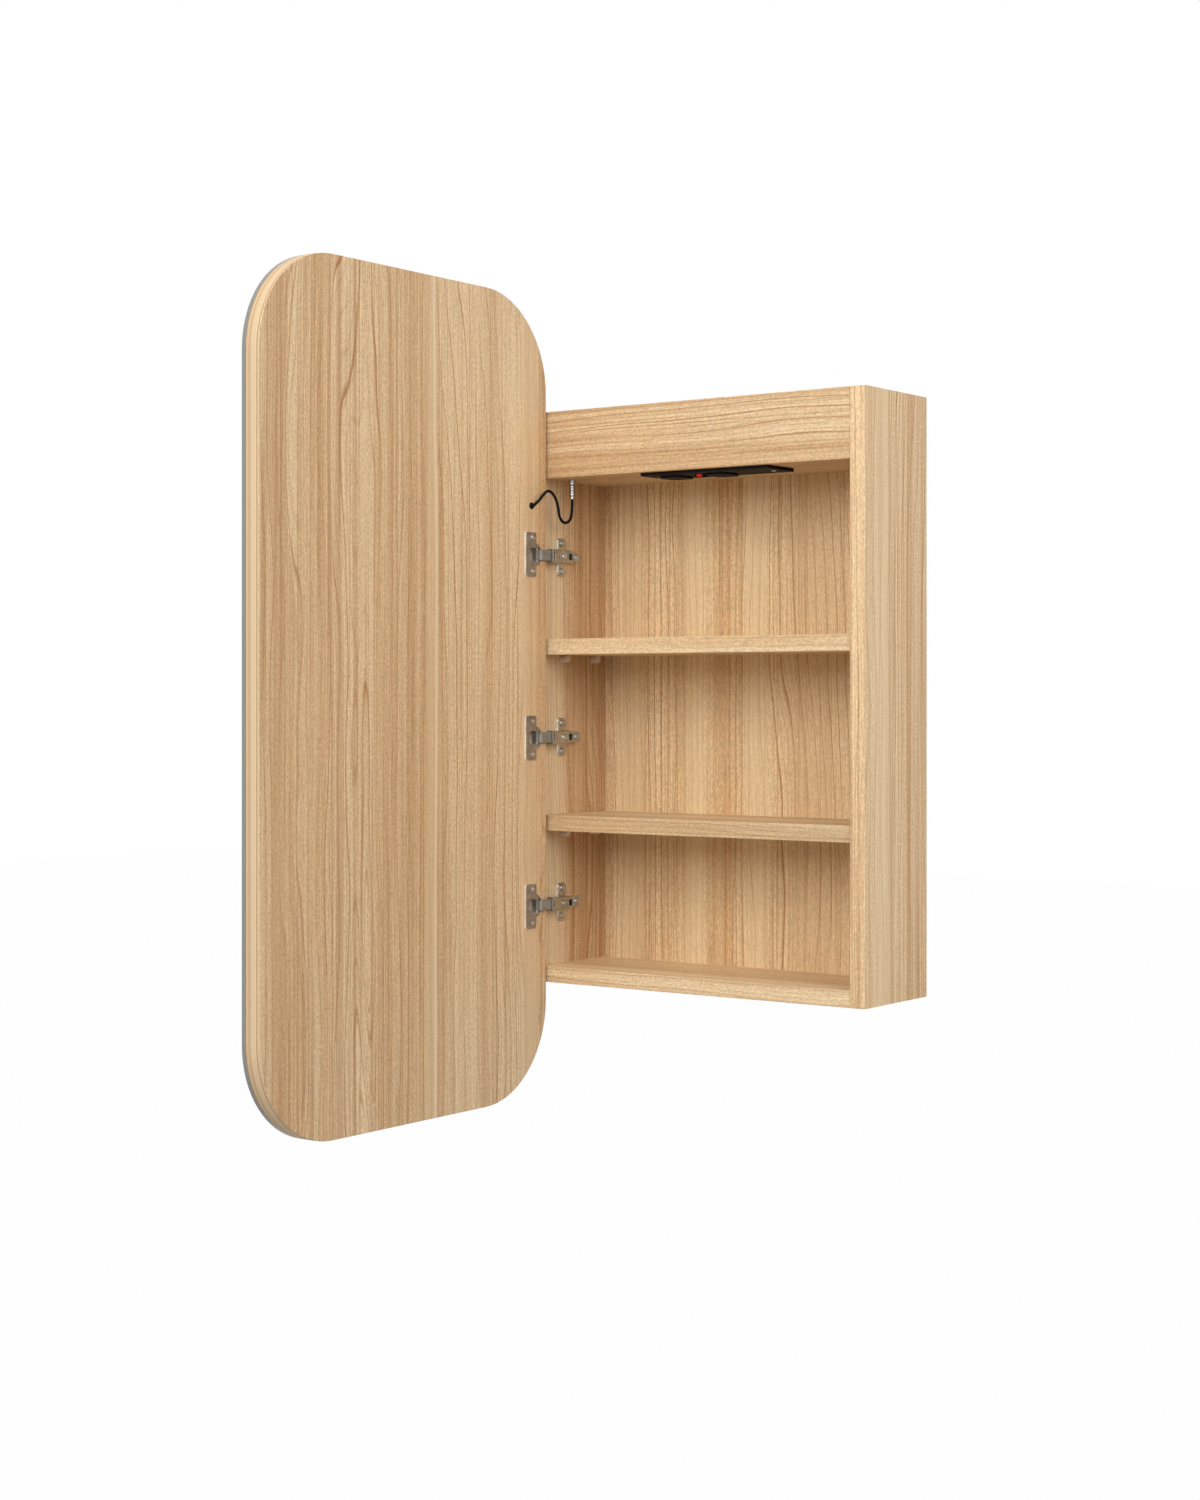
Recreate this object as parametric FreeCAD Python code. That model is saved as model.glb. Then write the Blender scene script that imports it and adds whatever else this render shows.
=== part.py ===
import FreeCAD, Part
import math
import os

from FreeCAD import Vector

os.makedirs("parts", exist_ok=True)

# A wall-hung shaving cabinet, in millimetres. X runs to the right, Y towards the wall, Z up.
# The origin is the middle of the back face, on the wall. The door stands open a quarter turn.

# Case boards
board = 18.0
case_width = 440.0
case_height = 647.0
case_depth = 134.0
back_thickness = 9.0
back_rebate = 9.0
fascia_height = 75.5
edge_round = 0.8

# Shelves, by the share of the bay's clear height that is below each
upper_shelf_share = 0.63866
lower_shelf_share = 0.27733
shelf_end_gap = 0.8
shelf_setback = 2.5

# Shelf pegs
peg_collar_radius = 4.2
peg_collar_length = 10.0
peg_spigot_radius = 2.5
peg_spigot_length = 9.0
peg_front_inset = 40.0
peg_back_inset = 26.0
peg_tip_round = 1.05

# Dowels in the board joints
dowel_radius = 4.0
dowel_in_side = 12.0
dowel_in_end = 18.0
dowel_inset = 24.0
dowel_fascia_inset = 20.0

# Holes for the wall screws, in the back panel behind the fascia
wall_hole_radius = 3.5
wall_hole_spacing = 300.0
wall_hole_drop = 37.5

# Door
door_width = 465.0
door_height = 900.0
door_corner = 108.0
door_board = 18.0
mirror_thickness = 5.0
open_standoff = 10.4
open_edge_gap = 3.5
closed_gap = 2.6
closed_overhang = 5.0

# Light strip in its groove behind the mirror
strip_inset = 21.0
strip_width = 9.0
strip_thickness = 2.0
groove_clearance = 0.5
groove_depth = 4.0

# Hinges: the outer two keep their distance from the divider and the case's bottom edge
upper_hinge_drop = 87.6
middle_hinge_height = -45.8
lower_hinge_rise = 88.4
pin_radius = 1.3
running_clearance = 0.05

# Hinge cup, measured from the hinge edge of the door
cup_from_edge = 22.0
cup_radius = 13.0
cup_depth = 10.6
cup_wall = 0.8
cup_pocket_width = 15.2
cup_rim = 1.2
flange_thickness = 1.8
flange_height = 50.0
flange_near = 20.6
flange_far = 39.5
flange_corner = 3.0
cup_screw_from_edge = 27.0
cup_screw_spacing = 38.0
cup_screw_radius = 1.5
cup_screw_length = 11.0
cup_screw_head_radius = 3.0
cup_screw_head = 1.3

# Hinge link: a cranked plate between the arm pin and the cup pin
cup_pin_from_edge = 13.6
cup_pin_depth = 2.6
cup_pin_length = 17.2
arm_pin_reach = 34.74
link_width = 11.7
link_thickness = 1.8
link_eye_radius = 1.8
link_rise = 3.1
link_bend = 2.6

# Hinge arm: an inverted channel over the rail of the mounting plate
arm_top = 16.5
arm_sheet = 1.5
arm_round = 0.9
arm_width = 14.8
arm_cheek = 1.2
arm_nose = 1.5
arm_back = 40.3
arm_cheek_low = 4.0
arm_cheek_front_low = 8.6
arm_tail_width = 10.6
arm_tail_end = 61.0
arm_slot_from_front = 35.3
arm_slot_length = 6.8
arm_slot_width = 7.2
arm_slit_from_front = 5.0
arm_slit_length = 9.0
arm_slit_width = 2.0
arm_taper_length = 4.0
arm_taper_width = 2.0

# Mounting plate on the side panel
plate_from_front = 37.0
plate_wing_height = 44.0
plate_wing_width = 15.5
plate_wing_corner = 4.5
plate_wing_thickness = 2.4
plate_wing_round = 0.96
plate_screw_spacing = 32.0
rail_top = 9.0
rail_front = 17.0
rail_back = 62.0
rail_clearance = 0.2
plate_screw_radius = 1.8
plate_screw_length = 13.0
plate_screw_head_radius = 3.3
plate_screw_head = 1.6

# Screws through the arm
adjusting_screw_from_front = 22.3
adjusting_screw_radius = 2.0
tail_screw_from_front = 54.0
tail_screw_radius = 1.8
tail_screw_length = 7.0
arm_screw_head_radius = 3.2
arm_screw_head = 1.5
recess_width = 1.0
recess_depth = 0.7
recess_share = 0.62
head_round_share = 0.45

# Power outlet under the divider
outlet_x = 15.0
outlet_from_front = 33.0
outlet_length = 167.0
outlet_depth = 54.0
outlet_thickness = 3.6
outlet_corner = 2.0
outlet_screw_margin = 9.5
outlet_screw_radius = 1.6
outlet_screw_length = 16.0
outlet_screw_head_radius = 2.9
outlet_screw_head = 1.1
socket_margin = 30.5
socket_pitch = 60.0
socket_length = 30.0
socket_depth = 34.0
socket_corner = 9.0
socket_rise = 2.4
socket_round = 0.8
socket_body = 14.0
socket_body_inset = 5.0
slot_pin_length = 5.6
slot_pin_width = 1.8
slot_pin_depth = 12.0
slot_pin_circle = 6.4
slot_pin_tilt = 30.0
rocker_from_socket = 36.5
rocker_width = 11.0
rocker_radius = 9.5
rocker_axis_rise = 1.5
rocker_face = 3.6
rocker_back = 1.0
rocker_tilt = 9.0
rocker_gap = 0.35
rocker_pin_radius = 0.9
rocker_pin_length = 1.4
mark_length = 2.0
mark_width = 6.8
mark_rise = 0.85
mark_height = 2.7
box_screw_margin = 6.0
box_height = 36.0
box_back_margin = 4.0
box_wall = 2.0
box_gap = 0.5

# Lamp driver in the service compartment
driver_left_margin = 6.0
driver_right_margin = 19.0
driver_from_front = 46.0
driver_depth = 36.0
driver_height = 22.0
driver_round = 3.0
driver_ear = 9.0
driver_ear_thickness = 3.0
driver_screw_radius = 1.5
driver_screw_length = 12.0
driver_screw_head_radius = 3.0
driver_screw_head = 1.8

# Cable from the divider to the door
cable_radius = 1.6
cable_end_gap = 1.1
cable_bend_share = 0.45
socket_from_side = 21.6
socket_from_front = 31.0
socket_radius = 3.0
socket_nut_radius = 5.5
socket_nut_height = 3.0
plug_collar_radius = 4.5
plug_collar_length = 6.4
plug_rib_radius = 3.1
plug_rib_length = 2.9
plug_rib_count = 3
plug_bead_radius = 3.4
plug_bead_length = 3.3
plug_tip_radius = 2.5
plug_tip_length = 3.8
plug_ease_share = 0.12
grommet_radius = 3.7
grommet_height = 1.4
grommet_stem_radius = 2.9
grommet_stem = 7.0
grommet_round = 0.45
grommet_from_edge = 27.5
grommet_drop = 33.0

# Places worked out from the sizes above
left_outer = -case_width / 2
left_inner = left_outer + board
right_inner = -left_inner
right_outer = -left_outer
front = -case_depth
fascia_back = front + board
back_front = -back_thickness
case_top = case_height / 2
case_bottom = -case_height / 2
divider_underside = case_top - fascia_height
divider_top = divider_underside + board
clear_bottom = case_bottom + board
clear_height = divider_underside - clear_bottom
upper_shelf_underside = clear_bottom + upper_shelf_share * clear_height
lower_shelf_underside = clear_bottom + lower_shelf_share * clear_height
hinge_heights = {"upper": divider_underside - upper_hinge_drop, "middle": middle_hinge_height,
                 "lower": case_bottom + lower_hinge_rise}
outlet_y = front + outlet_from_front
outlet_left = outlet_x - outlet_length / 2
outlet_right = outlet_x + outlet_length / 2
outlet_screw_places = (outlet_left + outlet_screw_margin, outlet_right - outlet_screw_margin)
left_socket_x = outlet_left + socket_margin
socket_places = {"left": left_socket_x, "right": left_socket_x + socket_pitch}
rocker_x = left_socket_x + rocker_from_socket
box_left = outlet_left + outlet_screw_margin + box_screw_margin
box_right = outlet_right - outlet_screw_margin - box_screw_margin
driver_left = box_right + driver_left_margin + driver_ear
driver_right = right_inner - driver_right_margin - driver_ear
driver_y = front + driver_from_front
socket_x = left_inner + socket_from_side
socket_y = front + socket_from_front
door_face = left_inner + open_standoff
door_back = door_face - door_board
mirror_face = door_back - mirror_thickness
door_edge = front - open_edge_gap
closed_edge = left_outer - closed_overhang
closed_face = front - closed_gap

# The door goes from open to closed by a quarter turn about this pole in plan. The arm pin lies on the
# ray that halves the turn of the cup pin, so that the link has one length at both ends of the swing.
pole_sum = closed_edge + door_edge
pole_difference = closed_face - door_face
pole_x = (pole_sum - pole_difference) / 2
pole_y = (pole_sum + pole_difference) / 2
cup_pin_x = door_face - cup_pin_depth
cup_pin_y = door_edge - cup_pin_from_edge
arm_pin_angle = math.atan2(cup_pin_y - pole_y, cup_pin_x - pole_x) + math.pi / 4
arm_pin_x = pole_x + arm_pin_reach * math.cos(arm_pin_angle)
arm_pin_y = pole_y + arm_pin_reach * math.sin(arm_pin_angle)

ALONG_X = Vector(1, 0, 0)
ALONG_Y = Vector(0, 1, 0)
ALONG_Z = Vector(0, 0, 1)


def block(x0, x1, y0, y1, z0, z1):
    """A box between two corners."""
    return Part.makeBox(x1 - x0, y1 - y0, z1 - z0, Vector(x0, y0, z0))


def rod(radius, x, y, z, direction, length):
    """A cylinder from a point along a direction."""
    return Part.makeCylinder(radius, length, Vector(x, y, z), direction)


def upright(radius, x, y, z_middle, length):
    """A vertical cylinder about its middle."""
    return rod(radius, x, y, z_middle - length / 2, ALONG_Z, length)


def rounded_face(side0, side1, z0, z1, corner, place):
    """A rounded rectangle; place turns a side value and a height into a point."""
    quarter = corner * (1 - math.sqrt(0.5))

    def line(a, b):
        return Part.LineSegment(place(*a), place(*b)).toShape()

    def arc(a, m, b):
        return Part.Arc(place(*a), place(*m), place(*b)).toShape()

    edges = [
        line((side0 + corner, z0), (side1 - corner, z0)),
        arc((side1 - corner, z0), (side1 - quarter, z0 + quarter), (side1, z0 + corner)),
        line((side1, z0 + corner), (side1, z1 - corner)),
        arc((side1, z1 - corner), (side1 - quarter, z1 - quarter), (side1 - corner, z1)),
        line((side1 - corner, z1), (side0 + corner, z1)),
        arc((side0 + corner, z1), (side0 + quarter, z1 - quarter), (side0, z1 - corner)),
        line((side0, z1 - corner), (side0, z0 + corner)),
        arc((side0, z0 + corner), (side0 + quarter, z0 + quarter), (side0 + corner, z0)),
    ]
    return Part.Face(Part.Wire(edges))


def standing_plate(y0, y1, z0, z1, corner, x0, x1):
    """A rounded plate that stands across X, such as the door."""
    face = rounded_face(y0, y1, z0, z1, corner, lambda y, z: Vector(x0, y, z))
    return face.extrude(Vector(x1 - x0, 0, 0))


def lying_plate(x0, x1, y0, y1, corner, z0, z1):
    """A rounded plate that lies level."""
    face = rounded_face(x0, x1, y0, y1, corner, lambda x, y: Vector(x, y, z0))
    return face.extrude(Vector(0, 0, z1 - z0))


def eased(shape, wanted, radius=edge_round):
    """Round the edges whose middle points pass the test."""
    edges = [edge for edge in shape.Edges if wanted(edge.CenterOfMass)]
    return shape.makeFillet(radius, edges)


def near(a, b):
    return abs(a - b) < 1e-6


def save(name, *solids):
    """Write one node, a single solid or a group of separate ones."""
    shape = solids[0] if len(solids) == 1 else Part.makeCompound(list(solids))
    shape.exportStep("parts/" + name + ".step")


def recessed_head(radius, height, x, y, z, direction):
    """A low screw head with a cross recess, standing on a point along X or along Z."""
    head = rod(radius, x, y, z, direction, height)
    rim = [edge for edge in head.Edges if edge.Curve.TypeId == "Part::GeomCircle"
           and (edge.CenterOfMass - Vector(x, y, z)).Length > height / 2]
    head = head.makeFillet(height * head_round_share, rim)
    top = Vector(x, y, z) + direction * height
    reach = radius * recess_share
    for long_side, short_side in ((reach, recess_width / 2), (recess_width / 2, reach)):
        if abs(direction.x) > 0.5:
            slot = block(-recess_depth, recess_depth, -long_side, long_side, -short_side, short_side)
        else:
            slot = block(-long_side, long_side, -short_side, short_side, -recess_depth, recess_depth)
        head = head.cut(slot.translate(top))
    return head


# Dowels: each end board is held by two at either end
dowel_places = []
for board_middle in (case_top - board / 2, divider_underside + board / 2):
    dowel_places.append((fascia_back + dowel_inset, board_middle))
    dowel_places.append((back_front - dowel_inset, board_middle))
bottom_middle = case_bottom + board / 2
dowel_places.append((front + dowel_inset, bottom_middle))
dowel_places.append((back_front - dowel_inset, bottom_middle))
fascia_middle = front + board / 2
dowel_places.append((fascia_middle, divider_underside + dowel_fascia_inset))
dowel_places.append((fascia_middle, case_top - dowel_fascia_inset))

dowels = []
for y, z in dowel_places:
    for x in (left_inner - dowel_in_side, right_inner - dowel_in_end):
        dowels.append(rod(dowel_radius, x, y, z, ALONG_X, dowel_in_side + dowel_in_end))
save("case_dowels", *dowels)


# Shelf pegs: a clear collar under the shelf and a spigot in the side panel
def shelf_peg(side, y, shelf_underside):
    inner = side * right_inner
    z = shelf_underside - peg_collar_radius
    collar = rod(peg_collar_radius, inner, y, z, ALONG_X * -side, peg_collar_length)
    tip = [edge for edge in collar.Edges if near(edge.CenterOfMass.x, inner - side * peg_collar_length)]
    collar = collar.makeFillet(peg_tip_round, tip)
    spigot = rod(peg_spigot_radius, inner, y, z, ALONG_X * side, peg_spigot_length)
    return collar.fuse(spigot).removeSplitter()


pegs = []
for underside in (upper_shelf_underside, lower_shelf_underside):
    for side in (-1, 1):
        for y in (front + peg_front_inset, back_front - peg_back_inset):
            pegs.append(shelf_peg(side, y, underside))
save("shelf_pegs", *pegs)


# Screws that hold the mounting plates to the left side panel
plate_y = front + plate_from_front
plate_screws = []
for height in hinge_heights.values():
    for step in (-0.5, 0.5):
        z = height + step * plate_screw_spacing
        seat = left_inner + plate_wing_thickness
        head = recessed_head(plate_screw_head_radius, plate_screw_head, seat, plate_y, z, ALONG_X)
        shank = rod(plate_screw_radius, seat, plate_y, z, ALONG_X * -1, plate_screw_length)
        plate_screws.append(head.fuse(shank).removeSplitter())
save("plate_screws", *plate_screws)


# Side panels, rebated at the back for the back panel
def side_panel(side):
    inner = side * right_inner
    outer = side * right_outer
    panel = block(min(inner, outer), max(inner, outer), front, 0, case_bottom, case_top)
    panel = eased(panel, lambda p: near(p.y, front))
    rebate_edge = inner + side * back_rebate
    rebate = block(min(inner, rebate_edge), max(inner, rebate_edge), back_front, 0, case_bottom, case_top)
    return panel.cut(rebate).cut(dowels).cut(pegs)


save("left_side_panel", side_panel(-1).cut(plate_screws))
save("right_side_panel", side_panel(1))

# Back panel with the two wall-screw holes
back_panel = block(left_inner - back_rebate, right_inner + back_rebate, back_front, 0,
                   case_bottom, case_top)
wall_hole_z = case_top - wall_hole_drop
for x in (-wall_hole_spacing / 2, wall_hole_spacing / 2):
    back_panel = back_panel.cut(rod(wall_hole_radius, x, back_front, wall_hole_z, ALONG_Y, back_thickness))
save("back_panel", back_panel)

# Top panel, bottom panel and fascia
top_panel = block(left_inner, right_inner, fascia_back, back_front, case_top - board, case_top)
save("top_panel", top_panel.cut(dowels))
bottom_panel = block(left_inner, right_inner, front, back_front, case_bottom, case_bottom + board)
bottom_panel = eased(bottom_panel, lambda p: near(p.y, front) and near(p.x, 0))
save("bottom_panel", bottom_panel.cut(dowels))
fascia_panel = block(left_inner, right_inner, front, fascia_back, divider_underside, case_top)
fascia_panel = eased(fascia_panel, lambda p: near(p.y, front) and near(p.x, 0))
save("fascia_panel", fascia_panel.cut(dowels))


# Shelves rest on their pegs, with a little play at the ends
def shelf(underside):
    plank = block(left_inner + shelf_end_gap, right_inner - shelf_end_gap, front + shelf_setback,
                  back_front, underside, underside + board)
    return eased(plank, lambda p: near(p.y, front + shelf_setback))


save("upper_shelf", shelf(upper_shelf_underside))
save("lower_shelf", shelf(lower_shelf_underside))

# Power outlet: plate, two socket modules, a rocker, screws and back box
outlet_face = divider_underside - outlet_thickness
outlet_front = outlet_y - outlet_depth / 2
outlet_back = outlet_y + outlet_depth / 2
outlet_plate = lying_plate(outlet_left, outlet_right, outlet_front, outlet_back, outlet_corner,
                           outlet_face, divider_underside)

outlet_screws = []
for x in outlet_screw_places:
    head = recessed_head(outlet_screw_head_radius, outlet_screw_head, x, outlet_y, outlet_face,
                         ALONG_Z * -1)
    shank = rod(outlet_screw_radius, x, outlet_y, outlet_face, ALONG_Z, outlet_screw_length)
    outlet_screws.append(head.fuse(shank).removeSplitter())
save("outlet_screws", *outlet_screws)

socket_front = outlet_y - socket_depth / 2
socket_back = outlet_y + socket_depth / 2


def socket_body_block(x, height):
    """The part of a socket module that stands above the plate's face."""
    half = socket_length / 2 - socket_body_inset
    return block(x - half, x + half, socket_front + socket_body_inset, socket_back - socket_body_inset,
                 outlet_face, outlet_face + height)


def socket_module(x):
    """A three-slot socket that drops through the plate, proud by its rise."""
    proud_face = outlet_face - socket_rise
    module = lying_plate(x - socket_length / 2, x + socket_length / 2, socket_front, socket_back,
                         socket_corner, proud_face, outlet_face)
    rim = [edge for edge in module.Edges if near(edge.CenterOfMass.z, proud_face)]
    module = module.makeFillet(socket_round, rim)
    module = module.fuse(socket_body_block(x, socket_body)).removeSplitter()
    for turn, tilt in ((90, 0), (210, slot_pin_tilt), (330, -slot_pin_tilt)):
        slot = block(-slot_pin_width / 2, slot_pin_width / 2, -slot_pin_length / 2, slot_pin_length / 2,
                     0, slot_pin_depth)
        slot.rotate(Vector(0, 0, 0), ALONG_Z, tilt)
        away = math.radians(turn)
        slot.translate(Vector(x + slot_pin_circle * math.cos(away),
                              outlet_y + slot_pin_circle * math.sin(away), proud_face))
        module = module.cut(slot)
    return module


for name, x in socket_places.items():
    outlet_plate = outlet_plate.cut(socket_body_block(x, outlet_thickness))
    save(name + "_socket", socket_module(x))

# The rocker's ends are arcs about its own pins; its front end has a red mark, seen when it is out
rocker_axis_z = outlet_face + rocker_axis_rise
rocker_face_z = rocker_axis_z - rocker_face
rocker = rod(rocker_radius, rocker_x - rocker_width / 2, outlet_y, rocker_axis_z, ALONG_X, rocker_width)
rocker = rocker.common(block(rocker_x - rocker_width, rocker_x + rocker_width, outlet_y - 2 * rocker_radius,
                             outlet_y + 2 * rocker_radius, rocker_face_z, rocker_axis_z + rocker_back))
mark_box = block(rocker_x - mark_width / 2, rocker_x + mark_width / 2, outlet_y - 2 * rocker_radius,
                 outlet_y - rocker_radius + mark_length, rocker_face_z + mark_rise,
                 rocker_face_z + mark_rise + mark_height)
rocker_mark = rocker.common(mark_box)
rocker = rocker.cut(mark_box)
for side in (-1, 1):
    rocker = rocker.fuse(rod(rocker_pin_radius, rocker_x + side * rocker_width / 2, outlet_y, rocker_axis_z,
                             ALONG_X * side, rocker_pin_length))
rocker = rocker.removeSplitter()
for piece in (rocker, rocker_mark):
    piece.rotate(Vector(rocker_x, outlet_y, rocker_axis_z), ALONG_X, rocker_tilt)
save("rocker", rocker)
save("rocker_mark", rocker_mark)

rocker_window = block(rocker_x - rocker_width / 2 - rocker_gap, rocker_x + rocker_width / 2 + rocker_gap,
                      outlet_y - rocker_radius - rocker_gap, outlet_y + rocker_radius + rocker_gap,
                      outlet_face, divider_underside)
bearing_length = rocker_width + 2 * (rocker_pin_length + running_clearance)
bearing = rod(rocker_pin_radius + running_clearance, rocker_x - bearing_length / 2, outlet_y, rocker_axis_z,
              ALONG_X, bearing_length)
outlet_plate = outlet_plate.cut(rocker_window).cut(bearing)
save("outlet_plate", outlet_plate.cut(outlet_screws))

box_front = fascia_back + box_gap
box_back = outlet_back - box_back_margin
box_outer = block(box_left, box_right, box_front, box_back, divider_underside, divider_underside + box_height)
box_inner = block(box_left + box_wall, box_right - box_wall, box_front + box_wall, box_back - box_wall,
                  divider_underside, divider_underside + box_height - box_wall)
save("outlet_back_box", box_outer.cut(box_inner))

# Cable socket through the divider, held by a nut above it
socket_body_length = board + socket_nut_height
cable_socket = rod(socket_radius, socket_x, socket_y, divider_underside, ALONG_Z, socket_body_length)
nut_points = []
for corner in range(7):
    around = math.radians(60 * corner)
    nut_points.append(Vector(socket_x + socket_nut_radius * math.cos(around),
                             socket_y + socket_nut_radius * math.sin(around), divider_top))
nut = Part.Face(Part.makePolygon(nut_points)).extrude(Vector(0, 0, socket_nut_height))
save("cable_socket", cable_socket.fuse(nut).removeSplitter())

# Lamp driver on the divider, with an ear and a screw at either end
driver = block(driver_left, driver_right, driver_y - driver_depth / 2, driver_y + driver_depth / 2,
               divider_top, divider_top + driver_height)
driver = eased(driver, lambda p: p.z > divider_top + driver_ear_thickness, driver_round)
driver_screws = []
for x in (driver_left - driver_ear / 2, driver_right + driver_ear / 2):
    ear = block(x - driver_ear / 2, x + driver_ear / 2, driver_y - driver_ear, driver_y + driver_ear,
                divider_top, divider_top + driver_ear_thickness)
    driver = driver.fuse(ear)
    seat = divider_top + driver_ear_thickness
    head = rod(driver_screw_head_radius, x, driver_y, seat, ALONG_Z, driver_screw_head)
    shank = rod(driver_screw_radius, x, driver_y, seat, ALONG_Z * -1, driver_screw_length)
    driver_screws.append(head.fuse(shank).removeSplitter())
save("lamp_driver", driver.removeSplitter().cut(driver_screws))
save("driver_screws", *driver_screws)

# Divider with its openings for the back box, the cable socket and the screws
divider = block(left_inner, right_inner, fascia_back, back_front, divider_underside, divider_top)
opening = block(box_left - box_gap, box_right + box_gap, fascia_back, box_back + box_gap,
                divider_underside, divider_top)
socket_bore = rod(socket_radius, socket_x, socket_y, divider_underside, ALONG_Z, board)
divider = divider.cut(opening).cut(socket_bore).cut(dowels).cut(driver_screws).cut(outlet_screws)
save("divider_panel", divider)

# Cable plug: a turned barrel with a collar, grip ribs, a bead and a tip, hanging below the socket
plug_steps = [(plug_collar_radius, plug_collar_length)]
plug_steps += [(plug_rib_radius, plug_rib_length)] * plug_rib_count
plug_steps += [(plug_bead_radius, plug_bead_length), (plug_tip_radius, plug_tip_length)]
plug_profile = [Vector(0, 0, 0)]
plug_z = 0.0
for radius, length in plug_steps:
    ease = length * plug_ease_share
    plug_profile.append(Vector(radius - ease, 0, plug_z))
    plug_profile.append(Vector(radius, 0, plug_z - ease))
    plug_profile.append(Vector(radius, 0, plug_z - length + ease))
    plug_profile.append(Vector(radius - ease, 0, plug_z - length))
    plug_z -= length
plug_profile.append(Vector(0, 0, plug_z))
plug_profile.append(Vector(0, 0, 0))
plug = Part.Face(Part.makePolygon(plug_profile)).revolve(Vector(0, 0, 0), ALONG_Z, 360)
plug.translate(Vector(socket_x, socket_y, divider_underside))
save("cable_plug", plug)
plug_end = divider_underside + plug_z

# Grommet in the door
grommet_y = door_edge - grommet_from_edge
grommet_z = divider_underside - grommet_drop
grommet = rod(grommet_radius, door_face, grommet_y, grommet_z, ALONG_X, grommet_height)
grommet_rim = [edge for edge in grommet.Edges if near(edge.CenterOfMass.x, door_face + grommet_height)]
grommet = grommet.makeFillet(grommet_round, grommet_rim)
grommet_stem_solid = rod(grommet_stem_radius, door_face, grommet_y, grommet_z, ALONG_X * -1, grommet_stem)
save("cable_grommet", grommet.fuse(grommet_stem_solid).removeSplitter())

# Cable route from the plug to the grommet, by steps from the plug's tip: down, round a bend, over a hump
cable_steps = [
    Vector(0, 0, 0),
    Vector(0, -0.2, -6.6),
    Vector(0, -0.7, -13.3),
    Vector(-0.1, -1.7, -21.1),
    Vector(-0.4, -8.0, -27.4),
    Vector(-0.8, -16.9, -27.4),
    Vector(-1.1, -23.2, -21.1),
    Vector(-1.2, -24.9, -10.8),
    Vector(-1.1, -29.5, -1.3),
    Vector(-0.8, -37.2, 5.6),
    Vector(-0.4, -46.6, 7.1),
    Vector(-0.4, -54.6, 1.4),
    Vector(-2.0, -60.0, -5.6),
]
plug_tip = Vector(socket_x, socket_y, plug_end)
cable_route = [plug_tip + step for step in cable_steps]
cable_route.append(Vector(door_face + grommet_height + cable_end_gap, grommet_y, grommet_z))


def cable_tube(route, radius):
    """Straight runs joined by tangent arcs, each as large as its two runs allow."""
    edges = []
    radii = []
    start = route[0]
    for before, corner, after in zip(route, route[1:], route[2:]):
        back = before - corner
        ahead = after - corner
        half_turn = (math.pi - back.getAngle(ahead)) / 2
        reach = cable_bend_share * min(back.Length, ahead.Length)
        bend = reach / math.tan(half_turn)
        radii.append(round(bend, 1))
        back.normalize()
        ahead.normalize()
        into = corner + back * reach
        out = corner + ahead * reach
        inward = back + ahead
        inward.normalize()
        middle = corner + inward * (bend / math.cos(half_turn) - bend)
        edges.append(Part.LineSegment(start, into).toShape())
        edges.append(Part.Arc(into, middle, out).toShape())
        start = out
    edges.append(Part.LineSegment(start, route[-1]).toShape())
    path = Part.Wire(edges)
    section = Part.Wire([Part.Circle(route[0], route[1] - route[0], radius).toShape()])
    tube = path.makePipeShell([section], True, False)
    expected = math.pi * radius ** 2 * path.Length
    ratio = round(tube.Volume / expected, 4)
    print("cable length", round(path.Length, 1), "radii", radii, "volume ratio", ratio)
    return tube


save("door_cable", cable_tube(cable_route, cable_radius))

# Door: board, mirror and light strip
door_far = door_edge - door_width
door_low = -door_height / 2
door_high = door_height / 2


def door_plate(inset, x0, x1):
    """The door's outline, drawn in by an inset."""
    return standing_plate(door_far + inset, door_edge - inset, door_low + inset, door_high - inset,
                          door_corner - inset, x0, x1)


def door_ring(inset, width, x0, x1):
    """A band that follows the door's outline."""
    return door_plate(inset, x0, x1).cut(door_plate(inset + width, x0, x1))


groove_floor = door_back + groove_depth
light_strip = door_ring(strip_inset, strip_width, groove_floor - strip_thickness, groove_floor)
save("light_strip", light_strip)
save("mirror_glass", door_plate(0, mirror_face, door_back))

cup_y = door_edge - cup_from_edge
cup_screws = []
for height in hinge_heights.values():
    for step in (-0.5, 0.5):
        z = height + step * cup_screw_spacing
        y = door_edge - cup_screw_from_edge
        seat = door_face + flange_thickness
        head = recessed_head(cup_screw_head_radius, cup_screw_head, seat, y, z, ALONG_X)
        shank = rod(cup_screw_radius, seat, y, z, ALONG_X * -1, cup_screw_length)
        cup_screws.append(head.fuse(shank).removeSplitter())
save("cup_screws", *cup_screws)

door_panel = door_plate(0, door_back, door_face)
door_panel = eased(door_panel, lambda p: near(p.x, door_face))
groove = door_ring(strip_inset - groove_clearance, strip_width + 2 * groove_clearance,
                   door_back, groove_floor)
door_panel = door_panel.cut(groove)
for height in hinge_heights.values():
    door_panel = door_panel.cut(rod(cup_radius, door_face, cup_y, height, ALONG_X * -1, cup_depth))
wire_bore = rod(grommet_stem_radius, door_face, grommet_y, grommet_z, ALONG_X * -1, door_board)
door_panel = door_panel.cut(wire_bore).cut(cup_screws)
save("door_board", door_panel)

# Hinges
cup_pins = []
arm_pins = []
adjusting_screws = []
tail_screws = []


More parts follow.
